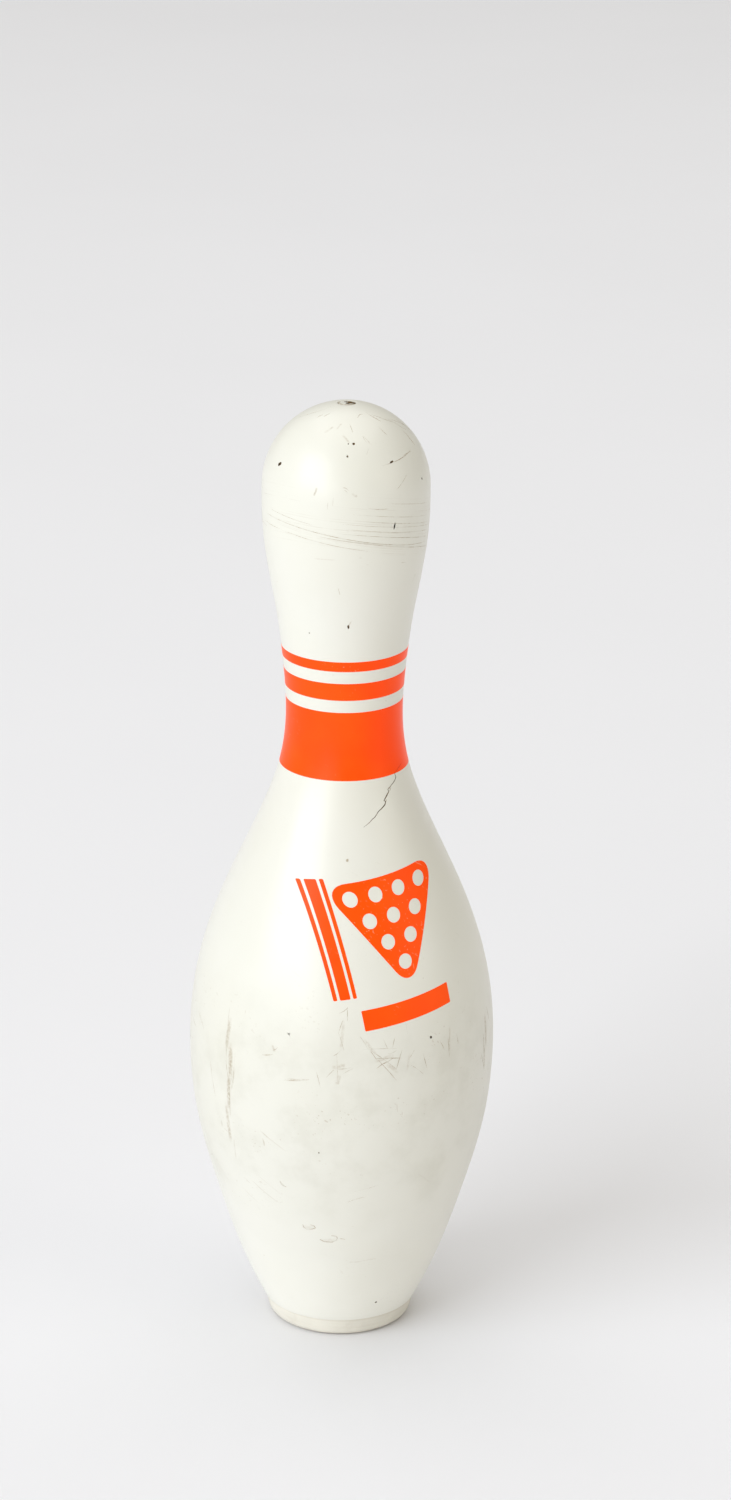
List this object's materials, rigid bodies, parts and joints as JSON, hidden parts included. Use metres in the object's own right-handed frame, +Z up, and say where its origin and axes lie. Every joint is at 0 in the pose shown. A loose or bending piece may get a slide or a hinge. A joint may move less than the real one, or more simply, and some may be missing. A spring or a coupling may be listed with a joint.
{
  "type": "bowling pin",
  "caption": "Worn plastic-coated maple bowling pin with an orange neck band and stripes, a plain printed belly mark and a cream base ring.",
  "frame": {"origin": "centre of the foot, on the surface that the pin stands on", "axes": "+Z up along the pin's axis, the printed mark faces -Y and is turned 24 degrees towards +X"},
  "size_m": [0.1212, 0.1212, 0.381],
  "materials": {
    "coat": "semi-gloss, scuffed",
    "ring": "satin, worn",
    "plug": "matte",
    "maple": "bare, turned",
    "print": "semi-gloss printed film"
  },
  "bodies": {
    "root": {"coating": "coat", "base_ring": "ring", "crown_plug": "plug", "core_stave_front": "maple", "core_stave_centre": "maple", "core_stave_rear": "maple", "wing_front": "maple", "wing_rear": "maple", "wing_left": "maple", "wing_right": "maple", "neck_band": "print", "neck_stripe_lower": "print", "neck_stripe_upper": "print", "deck_triangle": "print", "name_bar": "print", "side_stripe_inner": "print", "side_stripe_middle": "print", "side_stripe_outer": "print"}
  },
  "joints": []
}
